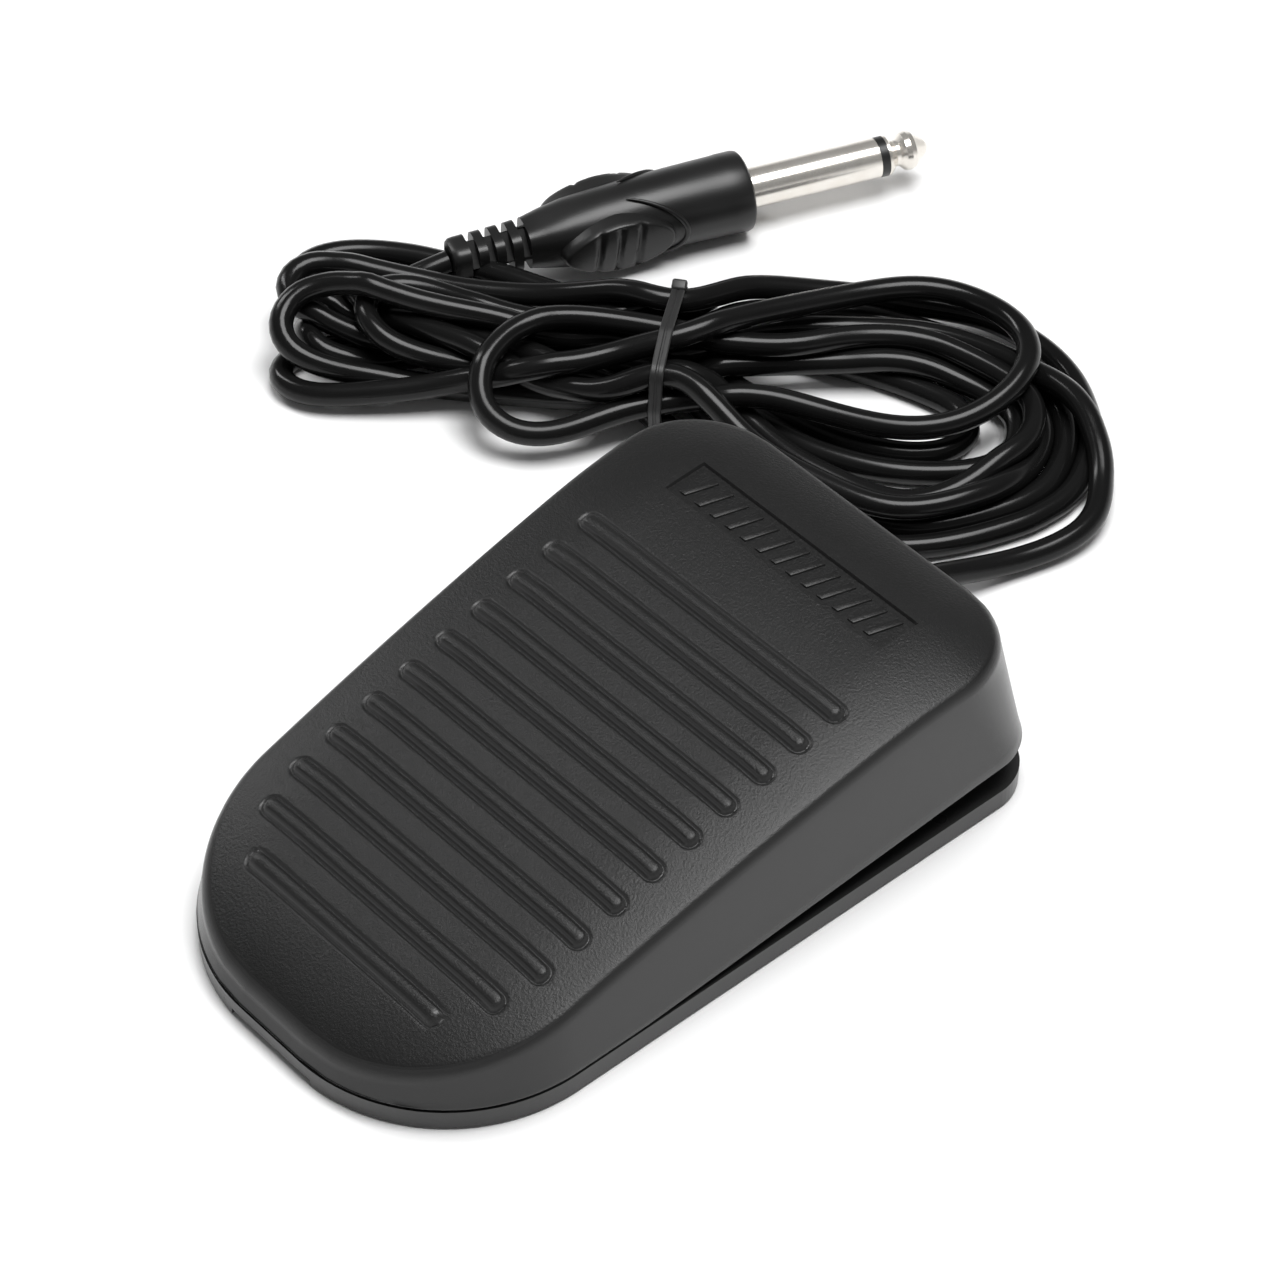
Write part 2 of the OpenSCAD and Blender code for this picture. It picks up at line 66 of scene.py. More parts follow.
def mesh_object(name, verts, faces, smooth_deg=40):
    """A mesh object from points in millimetres, shaded smooth below smooth_deg."""
    mesh = bpy.data.meshes.new(name)
    mesh.from_pydata([tuple(np.multiply(v, MM)) for v in verts], [], faces)
    mesh.validate()
    obj = placed(name, mesh)
    tidy_mesh(obj, smooth_deg)
    return obj


def tidy_mesh(obj, smooth_deg):
    bm = bmesh.new()
    bm.from_mesh(obj.data)
    bmesh.ops.remove_doubles(bm, verts=bm.verts, dist=1e-6)
    bmesh.ops.recalc_face_normals(bm, faces=bm.faces)
    bm.to_mesh(obj.data)
    bm.free()
    obj.data.polygons.foreach_set("use_smooth", [True] * len(obj.data.polygons))
    obj.data.set_sharp_from_angle(angle=radians(smooth_deg))


def apply_modifier(obj, kind, **settings):
    modifier = obj.modifiers.new(kind.title(), kind)
    for key, value in settings.items():
        setattr(modifier, key, value)
    bpy.context.view_layer.update()
    evaluated = obj.evaluated_get(bpy.context.evaluated_depsgraph_get())
    mesh = bpy.data.meshes.new_from_object(evaluated)
    obj.modifiers.clear()
    obj.data = mesh


def cut(obj, cutter, smooth_deg=40):
    """Subtracts cutter from obj, and removes cutter."""
    apply_modifier(obj, "BOOLEAN", operation="DIFFERENCE", solver="EXACT", object=cutter)
    bpy.data.objects.remove(cutter)
    tidy_mesh(obj, smooth_deg)


def join(objects, name):
    """One object out of several meshes, left as separate shells."""
    bm = bmesh.new()
    for obj in objects:
        bm.from_mesh(obj.data)
        bpy.data.objects.remove(obj)
    return from_bmesh(name, bm)


def rings_mesh(name, rings, closed=True, caps=True, smooth_deg=40):
    """Quads between successive rings of the same number of points."""
    n = len(rings[0])
    verts = [p for ring in rings for p in ring]
    faces = []
    for a in range(len(rings) - 1):
        for i in range(n if closed else n - 1):
            j = (i + 1) % n
            faces.append((a * n + i, a * n + j, (a + 1) * n + j, (a + 1) * n + i))
    if caps:
        last = (len(rings) - 1) * n
        faces += [tuple(range(n))[::-1], tuple(range(last, last + n))]
    return mesh_object(name, verts, faces, smooth_deg)


def circle(r, n, z=0.0, centre=(0.0, 0.0)):
    return [(centre[0] + r * cos(2 * pi * i / n), centre[1] + r * sin(2 * pi * i / n), z)
            for i in range(n)]


# ---- Camera ----
CAM_AZ, CAM_EL, CAM_FAR, CAM_LENS = radians(47.68), radians(46.14), 631.6, 125.1
CAM_AIM = (-22.0, 30.8, 0.0)


def make_camera():
    back = Vector((sin(CAM_AZ) * cos(CAM_EL), -cos(CAM_AZ) * cos(CAM_EL), sin(CAM_EL)))
    data = bpy.data.cameras.new("camera")
    data.lens, data.sensor_width = CAM_LENS, 36.0
    data.clip_start, data.clip_end = 0.01, 20.0
    camera = placed("camera", data)
    camera.location = (Vector(CAM_AIM) + back * CAM_FAR) * MM
    camera.rotation_euler = (-back).to_track_quat("-Z", "Y").to_euler()
    bpy.context.scene.camera = camera


make_camera()


# ---- Materials ----
class Nodes:
    """A node tree that builds a principled material with few lines."""

    def __init__(self, name):
        self.material = bpy.data.materials.new(name)
        self.material.use_nodes = True
        self.tree = self.material.node_tree
        self.shader = self.tree.nodes["Principled BSDF"]
        self.place = self.add("ShaderNodeTexCoord").outputs["Object"]

    def add(self, kind, **settings):
        node = self.tree.nodes.new(kind)
        for key, value in settings.items():
            if key in node.inputs:
                node.inputs[key].default_value = value
            else:
                setattr(node, key, value)
        return node

    def link(self, out, socket):
        self.tree.links.new(out, socket)

    def set(self, **values):
        for key, value in values.items():
            self.shader.inputs[key.replace("_", " ")].default_value = value

    def noise(self, scale, detail=2.0, rough=0.5):
        """Noise with scale features per millimetre."""
        node = self.add("ShaderNodeTexNoise", Scale=scale / MM, Detail=detail,
                        Roughness=rough)
        self.link(self.place, node.inputs["Vector"])
        return node.outputs["Fac"]

    def span(self, value, low, high, start=0.0, end=1.0):
        node = self.add("ShaderNodeMapRange")
        for key, number in (("From Min", start), ("From Max", end),
                            ("To Min", low), ("To Max", high)):
            node.inputs[key].default_value = number
        self.link(value, node.inputs["Value"])
        return node.outputs["Result"]

    def colour(self, value, stops):
        ramp = self.add("ShaderNodeValToRGB")
        while len(ramp.color_ramp.elements) < len(stops):
            ramp.color_ramp.elements.new(0.5)
        for element, (at, rgb) in zip(ramp.color_ramp.elements, stops):
            element.position = at
            element.color = (*rgb, 1.0)
        self.link(value, ramp.inputs["Fac"])
        self.link(ramp.outputs["Color"], self.shader.inputs["Base Color"])

    def bump(self, heights):
        """Stacks bumps from (value, strength, depth in millimetres) rows."""
        normal = None
        for value, strength, depth in heights:
            node = self.add("ShaderNodeBump", Strength=strength, Distance=depth * MM)
            self.link(value, node.inputs["Height"])
            if normal:
                self.link(normal, node.inputs["Normal"])
            normal = node.outputs["Normal"]
        self.link(normal, self.shader.inputs["Normal"])


def moulded(name, dark, light, rough, grain, grain_mm, depth_mm, specular=0.5):
    """Moulded plastic: a fine grain, and slow changes of colour and gloss."""
    m = Nodes(name)
    slow = m.noise(0.04, 3.0)
    fine = m.noise(1 / grain_mm, 3.0, 0.6)
    m.colour(slow, ((0.3, dark), (0.7, light)))
    m.link(m.span(slow, rough - 0.04, rough + 0.04, 0.3, 0.7),
           m.shader.inputs["Roughness"])
    m.bump([(fine, grain, depth_mm)])
    m.set(Specular_IOR_Level=specular)
    return m.material


def grey(level, warm=0.0):
    return (level * (1 + warm), level, level * (1 - warm))


def metal(name, dark, light, rough, scratch=0.08, metallic=1.0):
    m = Nodes(name)
    slow = m.noise(0.3, 4.0)
    fine = m.noise(3.0, 3.0)
    m.colour(slow, ((0.3, dark), (0.7, light)))
    m.link(m.span(fine, rough, rough + scratch, 0.35, 0.65), m.shader.inputs["Roughness"])
    m.bump([(fine, 0.03, 0.02)])
    m.set(Metallic=metallic)
    return m.material


def cover_plastic():
    """Grained on the top and smoother on the upright sides, whose colour is painted a little
    paler: a painted reflection of the white floor.
    """
    m = Nodes("cover_black")
    facing = m.add("ShaderNodeNewGeometry").outputs["True Normal"]
    split = m.add("ShaderNodeSeparateXYZ")
    m.link(facing, split.inputs[0])
    top = m.span(split.outputs["Z"], 0.0, 1.0, 0.72, 0.95)
    slow = m.noise(0.05, 4.0)
    mixed = m.add("ShaderNodeMath", operation="MULTIPLY_ADD")
    m.link(slow, mixed.inputs[0])
    mixed.inputs[1].default_value = 0.25
    m.link(top, mixed.inputs[2])
    # Colour by facing: the upright sides get a paler colour than the top, painted light that
    # stands in for the floor's reflection; the slow noise adds random tone.
    m.colour(mixed.outputs[0], ((0.0, grey(0.03)), (0.3, grey(0.026)), (0.9, grey(0.006)),
                                (1.0, grey(0.008))))
    m.link(m.span(mixed.outputs[0], 0.24, 0.36), m.shader.inputs["Roughness"])
    grain = m.add("ShaderNodeMath", operation="MULTIPLY")
    m.link(m.noise(2.6, 4.0, 0.65), grain.inputs[0])
    m.link(m.span(top, 0.12, 1.0), grain.inputs[1])
    m.bump([(grain.outputs[0], 0.8, 0.09)])
    m.set(Specular_IOR_Level=0.33)
    return m.material


MATERIALS = {
    "cover_black": cover_plastic(),
    "base_black": moulded("base_black", grey(0.02), grey(0.027), 0.3, 0.2, 0.4, 0.04),
    "rubber_black": moulded("rubber_black", grey(0.008), grey(0.014), 0.8, 0.5, 0.5, 0.06),
    "switch_black": moulded("switch_black", grey(0.02), grey(0.03), 0.45, 0.2, 0.4, 0.03),
    "plunger_red": moulded("plunger_red", (0.32, 0.02, 0.015), (0.4, 0.03, 0.02), 0.4,
                           0.1, 0.4, 0.03),
    "wire_red": moulded("wire_red", (0.3, 0.015, 0.012), (0.36, 0.02, 0.015), 0.35,
                        0.1, 0.4, 0.02),
    "cord_black": moulded("cord_black", grey(0.005), grey(0.008), 0.2, 0.05, 0.6, 0.03,
                          0.24),
    "tie_black": moulded("tie_black", grey(0.012), grey(0.018), 0.42, 0.2, 0.3, 0.03),
    "plug_black": moulded("plug_black", grey(0.008), grey(0.012), 0.34, 0.25, 0.35, 0.04,
                          0.4),
    "ring_black": moulded("ring_black", grey(0.01), grey(0.015), 0.35, 0.1, 0.4, 0.02),
    "steel": metal("steel", grey(0.5), grey(0.6), 0.25),
    "brass": metal("brass", (0.62, 0.42, 0.14), (0.72, 0.52, 0.2), 0.25),
    "nickel": metal("nickel", (0.8, 0.76, 0.7), (0.88, 0.85, 0.8), 0.17, 0.06, 0.8),
}


def dress(obj, slot, body=None):
    """Gives obj the slot's material, and for a new piece its body."""
    obj.data.materials.clear()
    obj.data.materials.append(MATERIALS[slot])
    if body:
        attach(obj, body)
    return obj


# ---- Cord ----
CORD_R = 1.85
STEP = 2.0
LEAST_BEND = 3.0
# Stretches at the two ends that stay as planned, in the clamp and in the plug.
HELD_START, HELD_END = 32, 10
TIE_AT = (-57.5, 68.5)
TIE_DEG = 37
TIE_THICK = 0.7
TIE_REACH, LIFT_RUN = 20, 12
ALONG = (cos(radians(TIE_DEG)), sin(radians(TIE_DEG)))
ACROSS = (ALONG[1], -ALONG[0])


def in_tie(across, z):
    """Route point in the tie: across is towards the pedal from the bundle's middle."""
    return (TIE_AT[0] + across * ACROSS[0], TIE_AT[1] + across * ACROSS[1], z)


# Routes from the clamp to the floor and from the hank to the plug, as in the CAD.
TAIL = [(0, 38, 7.5), (0, 46, 7.5), (0, 54, 7.5), (0, 62, 7), (1, 70, 4.5), (3, 78, 2.3),
        (5, 86, 2), (5, 93, 2)]
LEAD = [(-103, 41, 2), (-102, 46, 2.4), (-100, 51, 4), (-98, 55, 5.6), (-96.5, 58.9, 6.4)]

# The hank: seven loops on each side of the tie, in the order in which the cord runs. Most of
# these places were worked out by a scratch program, from points marked by eye on the
# photograph, and some were changed by hand: report.md says how many. The heights were chosen
# one by one, and say what lies over what. Far is the side away from the pedal.
HANK = [
    # from the floor to the tie
    (-4, 102, 2.5), (-7, 104, 5), (-12, 106, 6), (-18, 106, 6), (-23, 105, 6), (-28, 104, 6),
    (-35, 102, 5.5), (-40, 99, 5), (-46, 94, 5), (-52, 88, 5), (-56, 83, 5),
    in_tie(0, 5.1),
    # left loop 1, far
    (-66, 66, 5), (-72, 58, 5), (-78, 54, 5.5), (-84, 49, 5.5), (-90, 45, 5.5), (-97, 41, 5.5),
    (-101.5, 37, 5.5),
    # left loop 1, near
    (-102, 32, 5), (-98.5, 28.5, 4.5), (-94, 30, 3.5), (-90, 34, 3), (-86, 38, 2), (-80, 44, 2),
    (-74, 50, 2), (-66, 56, 2.5), (-60, 60, 4),
    in_tie(4, 5.1),
    # right loop 1, near
    (-48, 68, 3), (-40, 70, 2), (-32, 70, 2), (-26, 72, 2), (-19, 74, 2), (-14, 76, 2.5),
    (-10, 81, 3), (-8, 86, 3.5), (-7, 90, 4), (-8, 96, 4),
    # right loop 1, far
    (-11, 100, 4), (-16, 103, 4), (-20, 104, 4), (-25, 102, 4), (-31, 100, 4), (-36, 96, 4),
    (-41, 90, 4.5), (-44, 84, 5.5), (-49, 78, 6.5), (-54, 74, 7.5),
    in_tie(-2, 8.4),
    # left loop 2, far
    (-62, 68, 9), (-67, 64, 9), (-71, 60, 9.5), (-73, 56, 9.5), (-74, 52, 9.5), (-72, 48, 9.5),
    # left loop 2, near
    (-71, 44, 8.5), (-69, 42, 7), (-66, 42, 5.5), (-63, 43, 5), (-60, 46, 4.5), (-58, 50, 5),
    (-56, 54, 5.5), (-54, 60, 6),
    in_tie(8, 5.1),
    # right loop 2, near
    (-48, 68, 6.5), (-44, 72, 7.5), (-40, 75, 8), (-34, 78, 8.5), (-29, 81, 9), (-24, 84, 9.5),
    (-20, 89, 10), (-18, 94, 10.5), (-18, 98, 11),
    # right loop 2, far
    (-18, 103, 11.5), (-20, 106, 12), (-26, 110, 12), (-32, 110, 12), (-38, 108, 12),
    (-42, 105, 12), (-45, 100, 11.5), (-48, 94, 11), (-50, 88, 10.5), (-52, 82, 10),
    (-54, 76, 9),
    in_tie(2, 8.4),
    # left loop 3, near
    (-60, 65, 6.5), (-62, 60, 5), (-66, 55, 4), (-71, 50, 3), (-77, 45, 2), (-80, 40, 2),
    (-84, 36, 2), (-88, 32, 2), (-92, 28, 2),
    # left loop 3, far
    (-96, 28, 2), (-98, 28, 2), (-100, 32, 2), (-99, 36, 2), (-94, 42, 2), (-88, 48, 2),
    (-80, 55, 2), (-73, 61, 2), (-68, 66, 2),
    in_tie(-2, 1.9),
    # right loop 3, far
    (-54, 76, 3), (-48, 82, 3), (-44, 88, 3), (-38, 93, 3), (-33, 98, 3), (-27, 100, 3),
    (-22, 102, 3), (-17, 102, 3),
    # right loop 3, near
    (-13, 100, 3), (-12, 96, 2.5), (-12, 92, 2), (-16, 86, 2), (-20, 81, 2), (-26, 77, 2),
    (-32, 74, 2), (-39, 72, 2), (-46, 71, 2),
    in_tie(6, 1.9),
    # left loop 4, near
    (-62, 61, 2), (-68, 58, 2), (-76, 52, 2), (-82, 48, 2), (-88, 43, 2), (-94, 38, 2),
    (-100, 35, 2.5), (-104, 33, 3.5),
    # left loop 4, far
    (-108, 32, 4.5), (-110, 34, 5.5), (-111, 36, 6), (-109, 39, 6), (-106, 42, 6),
    (-102, 45, 6), (-96, 50, 6), (-90, 54, 6), (-84, 59, 6), (-78, 64, 6), (-72, 68, 7),
    (-66, 72, 8),
    in_tie(-6, 8.3),
    # right loop 4, far
    (-60, 80, 7), (-58, 86, 6), (-54, 92, 5), (-50, 99, 4), (-44, 104, 4), (-40, 108, 4),
    (-35, 112, 3.5), (-30, 114, 3), (-25, 114, 2.5), (-20, 114, 2),
    # right loop 4, near
    (-14, 110, 2), (-10, 107, 2), (-6, 102, 2), (-4, 96, 2), (-4, 89, 2), (-5, 82, 2),
    (-7, 76, 2), (-10, 71, 2), (-14, 67, 2), (-20, 65, 2), (-28, 64, 2), (-36, 64, 2),
    (-44, 63, 2),
    in_tie(10, 1.9),
    # left loop 5, near
    (-60, 60, 2), (-66, 55, 2), (-76, 52, 2), (-86, 48, 2), (-93, 45, 2), (-101, 41, 2),
    (-107, 39.5, 2),
    # left loop 5, far
    (-111.5, 41.5, 2.5), (-112, 46, 3), (-109.5, 50, 3.5), (-106, 53, 4), (-102, 55.5, 4.5),
    (-95, 58, 5), (-88, 62, 5), (-81, 66, 5), (-74, 70, 5), (-68, 74, 5),
    in_tie(-4, 5.1),
    # right loop 5, far
    (-60, 80, 5), (-56, 86, 4.5), (-52, 93, 4), (-47, 98, 3), (-41, 104, 2), (-36, 106, 2),
    (-29, 108, 2), (-24, 109, 2), (-18, 108, 2),
    # right loop 5, near
    (-13, 106, 2), (-9, 101, 2), (-6, 96, 2), (-6, 88, 2), (-8, 82, 2), (-10, 77, 2),
    (-14, 72, 2), (-18, 70, 2), (-25, 68, 2), (-32, 66, 2), (-41, 66, 2),
    in_tie(2, 1.9),
    # left loop 6, near
    (-64, 62, 2), (-70, 56, 2), (-76, 51, 2), (-82, 45, 2), (-87, 41, 2),
    # left loop 6, far
    (-92, 40, 2), (-95.5, 43, 2.5), (-94, 48, 3), (-89, 51, 3.5), (-83, 53, 4), (-77, 57, 4.5),
    (-72, 60, 5), (-68, 68, 5),
    in_tie(-8, 5.1),
    # right loop 6, far
    (-60, 80, 4), (-56, 86, 3.5), (-50, 92, 3), (-46, 98, 2), (-39, 102, 2), (-32, 104, 2),
    (-26, 106, 2), (-20, 106, 2),
    # right loop 6, near
    (-14, 104, 2), (-10, 100, 2), (-8, 95, 2), (-6, 88, 4), (-8, 82, 4.5), (-10, 76, 4.5),
    (-14, 72, 4.5), (-20, 69, 4.5), (-26, 68, 4.5), (-34, 66, 4.5), (-42, 66, 6),
    in_tie(5.7, 8),
    # left loop 7, near
    (-56, 58, 6), (-64, 55, 4), (-72, 51, 3.5), (-82, 47, 3.5), (-90, 44, 3), (-98, 43, 2.5),
    # left loop 7, far
    (-103, 43, 2.5), (-105, 46, 2.5), (-104, 50, 2.5), (-99, 56, 2.5), (-93, 61, 2.5),
    (-86, 66, 2.5), (-80, 70, 2.5), (-72, 73, 2.5),
    in_tie(-10, 1.9),
    # right loop 7, far
    (-58, 80, 2), (-52, 85, 2), (-46, 89, 2), (-39, 93, 2), (-33, 96, 2), (-28, 97, 2),
    (-24, 97, 2),
    # right loop 7, near
    (-20, 95, 2), (-20, 92, 2), (-20, 88, 2), (-24, 84, 2), (-29, 80, 2), (-34, 78, 2),
    (-42, 76, 2), (-48, 74, 2),
    in_tie(-6, 1.9),
    # to the plug
    (-68, 67, 2), (-74, 62, 2), (-80, 56, 2), (-85, 50, 2), (-89, 44, 2), (-92, 38.5, 2),
    (-96, 35, 2), (-101, 35.5, 2),
]


def spline(points, between=12):
    """Smooth curve through the points, with even turns where they are unevenly spaced."""
    p = np.array(points, float)
    p = np.vstack([2 * p[0] - p[1], p, 2 * p[-1] - p[-2]])
    gap = np.maximum(np.sqrt(np.linalg.norm(np.diff(p, axis=0), axis=1)), 1e-6)
    line = []
    for i in range(1, len(p) - 2):
        (a, b, c), (before, here, after, later) = gap[i - 1:i + 2], p[i - 1:i + 3]
        leave = (after - here) + b * ((here - before) / a - (after - before) / (a + b))
        arrive = (after - here) + b * ((later - after) / c - (later - here) / (b + c))
        for t in np.arange(between) / between:
            line.append((2 * t**3 - 3 * t**2 + 1) * here + (t**3 - 2 * t**2 + t) * leave
                        + (3 * t**2 - 2 * t**3) * after + (t**3 - t**2) * arrive)
    return np.array(line + [p[-2]])


def evenly(line, step):
    """The same line with points a step apart."""
    at = np.concatenate([[0], np.cumsum(np.linalg.norm(np.diff(line, axis=0), axis=1))])
    wanted = np.linspace(0, at[-1], int(round(at[-1] / step)) + 1)
    return np.stack([np.interp(wanted, at, line[:, k]) for k in range(3)], 1)


def half_smooth(line):
    line = line.copy()
    line[1:-1] += 0.5 * (0.5 * (line[:-2] + line[2:]) - line[1:-1])
    return line


def floor_under(line):
    """Lowest height of the cord's middle: it is lifted by the band that it lies on."""
    off = np.abs((line[:, 0] - TIE_AT[0]) * ALONG[0] + (line[:, 1] - TIE_AT[1]) * ALONG[1])
    side = np.abs((line[:, 0] - TIE_AT[0]) * ACROSS[0]
                  + (line[:, 1] - TIE_AT[1]) * ACROSS[1])
    lift = np.where(side < TIE_REACH, np.clip(1 - off / LIFT_RUN, 0, 1), 0)
    return CORD_R + TIE_THICK * lift


def ease(line, least, rounds=1):
    """Opens out the places where the line bends more tightly than the radius least."""
    line = line.copy()
    for _ in range(rounds):
        pull = 0.5 * (line[:-4] + line[4:]) - line[2:-2]
        half = 0.5 * np.linalg.norm(line[4:] - line[:-4], axis=1)
        tight = np.linalg.norm(pull, axis=1) * 2 * least > half**2
        near = np.convolve(tight, (0.3, 0.6, 0.9, 1, 0.9, 0.6, 0.3), "same")
        even = 0.5 * (line[1:-3] + line[3:-1]) - line[2:-2]
        line[2:-2] += np.minimum(near, 1)[:, None] * (0.2 * pull + 0.3 * even)
    return line


# For each round of settling: how far the cord sinks, for what share of the rounds, how much
# of its drift in plan it keeps, its stiffness in height, and how much of an overlap goes.
SINK, SINK_SHARE, DRIFT_KEPT, STIFF, PUSH = 0.02, 0.85, 0.99, 0.06, 1.2
SPARE = 0.05


def settle(line, held, rounds=400):
    """Lets the cord sink and lie on itself: strands keep a diameter apart, and each
    stretch stays near its planned place in plan."""
    planned, apart, free = line.copy(), 2 * CORD_R + SPARE, ~held[:, None]
    for turn in range(rounds):
        if turn % 10 == 0:
            far = np.linalg.norm(line[:, None] - line[None], axis=2)
            i, j = np.nonzero(np.triu(far < 1.8 * apart, 5))
        moved = half_smooth(half_smooth(line - planned))
        moved[:, :2] *= DRIFT_KEPT
        new = planned + moved
        z = new[:, 2].copy()
        for _ in range(2):
            z[2:-2] -= STIFF * (z[:-4] - 4 * z[1:-3] + 6 * z[2:-2] - 4 * z[3:-1] + z[4:])
        new[:, 2] = z - (SINK if turn < SINK_SHARE * rounds else 0)
        line = np.where(free, new, line)
        for _ in range(3):
            between = line[j] - line[i]
            gap = np.linalg.norm(between, axis=1)
            hit = gap < apart
            push = (between[hit] * ((apart - gap[hit]) / 2
                                    / np.maximum(gap[hit], 1e-6))[:, None])
            total, count = np.zeros_like(line), np.zeros(len(line))
            for side, sign in ((j[hit], 1), (i[hit], -1)):
                np.add.at(total, side, sign * push)
                np.add.at(count, side, 1)
            step = PUSH * total / np.maximum(count, 1)[:, None]
            line = np.where(free, line + step, line)
            line[:, 2] = np.maximum(line[:, 2], floor_under(line))
        line = np.where(free, ease(line, LEAST_BEND), line)
    return line


def fair(line, rounds=60):
    """Takes the small wobbles out of a line, and keeps its larger bends."""
    line = line.copy()
    for turn in range(2 * rounds):
        pull = 0.5 * (line[:-2] + line[2:]) - line[1:-1]
        line[1:-1] += (0.6, -0.63)[turn % 2] * pull
    return line


def cord_line():
    planned = evenly(spline(TAIL + HANK + LEAD), STEP)
    first, last = round(HELD_START / STEP), round(HELD_END / STEP)
    faired = fair(planned[first - 2:2 - last])
    planned[first:-last] = ease(faired, LEAST_BEND, 10)[2:-2]
    planned = evenly(planned, STEP)
    at = np.arange(len(planned)) * STEP
    held = (at < HELD_START) | (at > at[-1] - HELD_END)
    return settle(planned, held)


def cord_curve(line):
    data = bpy.data.curves.new("cord", "CURVE")
    data.dimensions = "3D"
    data.bevel_depth = CORD_R * MM
    data.bevel_resolution = 5
    data.use_fill_caps = True
    path = data.splines.new("POLY")
    path.points.add(len(line) - 1)
    path.points.foreach_set("co", np.hstack([line * MM, np.ones((len(line), 1))]).ravel())
    path.use_smooth = True
    return placed("cord", data)


# ---- Tie ----
BAND_W, BAND_T = 2.0, 0.6


def tie_crossings(line):
    """Places (across, height) where the cord goes through the tie."""
    flat = line[:, :2] - np.array(TIE_AT)
    along, across = flat @ np.array(ALONG), flat @ np.array(ACROSS)
    found = []
    for i in np.nonzero(along[:-1] * along[1:] <= 0)[0]:
        if abs(across[i]) < TIE_REACH:
            t = along[i] / (along[i] - along[i + 1])
            found.append((across[i] + t * (across[i + 1] - across[i]),
                          line[i, 2] + t * (line[i + 1, 2] - line[i, 2])))
    return found


def hull(points):
    points = sorted(set((round(x, 4), round(y, 4)) for x, y in points))

    def half(row):
        chain = []
        for p in row:
            while len(chain) > 1 and ((chain[-1][0] - chain[-2][0]) * (p[1] - chain[-2][1])
                                      - (chain[-1][1] - chain[-2][1])
                                      * (p[0] - chain[-2][0])) <= 0:
                chain.pop()
            chain.append(p)
        return chain[:-1]

    return half(points) + half(points[::-1])


def make_tie(line):
    """A flat band round the hull of the strands, with the head that locks it."""
    reach = CORD_R + 0.08 + BAND_T / 2
    around = hull([(s + reach * cos(a), max(z + reach * sin(a), BAND_T / 2 + 0.02))
                   for s, z in tie_crossings(line)
                   for a in np.linspace(0, 2 * pi, 36, endpoint=False)])
    ring = evenly(np.array([(s, z, 0) for s, z in around + around[:1]]), 0.5)[:-1, :2]
    back = np.roll(ring, 1, 0) - np.roll(ring, -1, 0)
    out = np.stack([-back[:, 1], back[:, 0]], 1) / np.linalg.norm(back, axis=1)[:, None]
    half_w, half_t, round_r = BAND_W / 2, BAND_T / 2, 0.15
    section = [(half_w, -half_t + round_r), (half_w, half_t - round_r),
               (half_w - round_r, half_t), (0.25, half_t), (0.12, half_t - 0.12),
               (-0.12, half_t - 0.12), (-0.25, half_t), (-half_w + round_r, half_t),
               (-half_w, half_t - round_r), (-half_w, -half_t + round_r),
               (-half_w + round_r, -half_t), (half_w - round_r, -half_t)]
    rings = []
    for (s, z), n in zip(ring, out):
        rings.append([(TIE_AT[0] + (s + n[0] * b) * ACROSS[0] + a * ALONG[0],
                       TIE_AT[1] + (s + n[0] * b) * ACROSS[1] + a * ALONG[1],
                       max(z + n[1] * b, 0.02)) for a, b in section])
    band = rings_mesh("band", rings + rings[:1], caps=False)
    top = int(np.argmax(ring[:, 1] - 0.35 * ring[:, 0]))
    head = bevelled_box("head", (-1.15, -0.9, -0.2), (1.15, 0.9, 1.1), 0.4, 4)
    turn = Matrix.Rotation(radians(TIE_DEG), 4, "Z")
    tip = Matrix.Rotation(-atan2(out[top][0], out[top][1]), 4, "X")
    s, z = ring[top]
    place = Matrix.Translation(Vector(in_tie(s, z)) * MM) @ turn @ tip
    head.data.transform(place)
    return join([band, head], "tie")


def bevelled_box(name, low, high, radius, segments=3):
    bm = bmesh.new()
    bmesh.ops.create_cube(bm, size=1)
    for v in bm.verts:
        v.co = Vector([MM * (low[k] if v.co[k] < 0 else high[k]) for k in range(3)])
    bmesh.ops.bevel(bm, geom=list(bm.edges), offset=radius * MM, segments=segments,
                    affect="EDGES", profile=0.5)
    obj = from_bmesh(name, bm)
    tidy_mesh(obj, 40)
    return obj


# ---- Cover ----
TALL_Y, LOW_R, LOW_C = 54.0, 26.0, (6.0, -28.6)
HALF_W, FOOT_R, TOP_R = 34.3, 8.0, 15.0
WALL, ROOF, EDGE_R, DRAFT = 2.0, 2.2, 1.9, 0.9
CROWN_W, CROWN_DEG = 12.0, 11.0
CROWN = CROWN_W * tan(radians(CROWN_DEG)) / 2
INSET = DRAFT + EDGE_R * (1 - sin(radians(CROWN_DEG)))
RIB_Y, RIB_PITCH, RIB_COUNT, RIB_W = 23.0, 6.45, 11, 2.4
RIB_LONGEST, RIB_ARC_X, RIB_ARC_Y, RIB_ARC_R = 25.2, 7.5, -28, 17.7
PANEL_Y, PANEL_HALF, PANEL_DEEP = 37.8, (20.9, 3.6), 0.6
HINGE_Y, HINGE_Z = -18.0, 8.0
TREAD_Z, TREAD_SLOPE, LOW_CURVE, TALL_CURVE = 27.8, 0.168, 0.001, 0.005
SKIRT_Z, PRESS_DEG = 3.8, 4
WIDE = HALF_W - INSET


def tread(y):
    t = y - RIB_Y
    return TREAD_Z + TREAD_SLOPE * t - (LOW_CURVE if t < 0 else TALL_CURVE) * t * t


def skirt(y):
    return SKIRT_Z + max(0.0, y - HINGE_Y) * tan(radians(PRESS_DEG))


def tall_corner(up):
    """Centre and radius of the tall end's corner: up is 0 at the foot, 1 at the top."""
    r = FOOT_R + (TOP_R - FOOT_R) * up
    return (HALF_W - r, TALL_Y - r), r


def side_angle(up):
    (cx, cy), r = tall_corner(up)
    dx, dy = cx - LOW_C[0], cy - LOW_C[1]
    return atan2(dy, dx) - acos((LOW_R - r) / hypot(dx, dy))


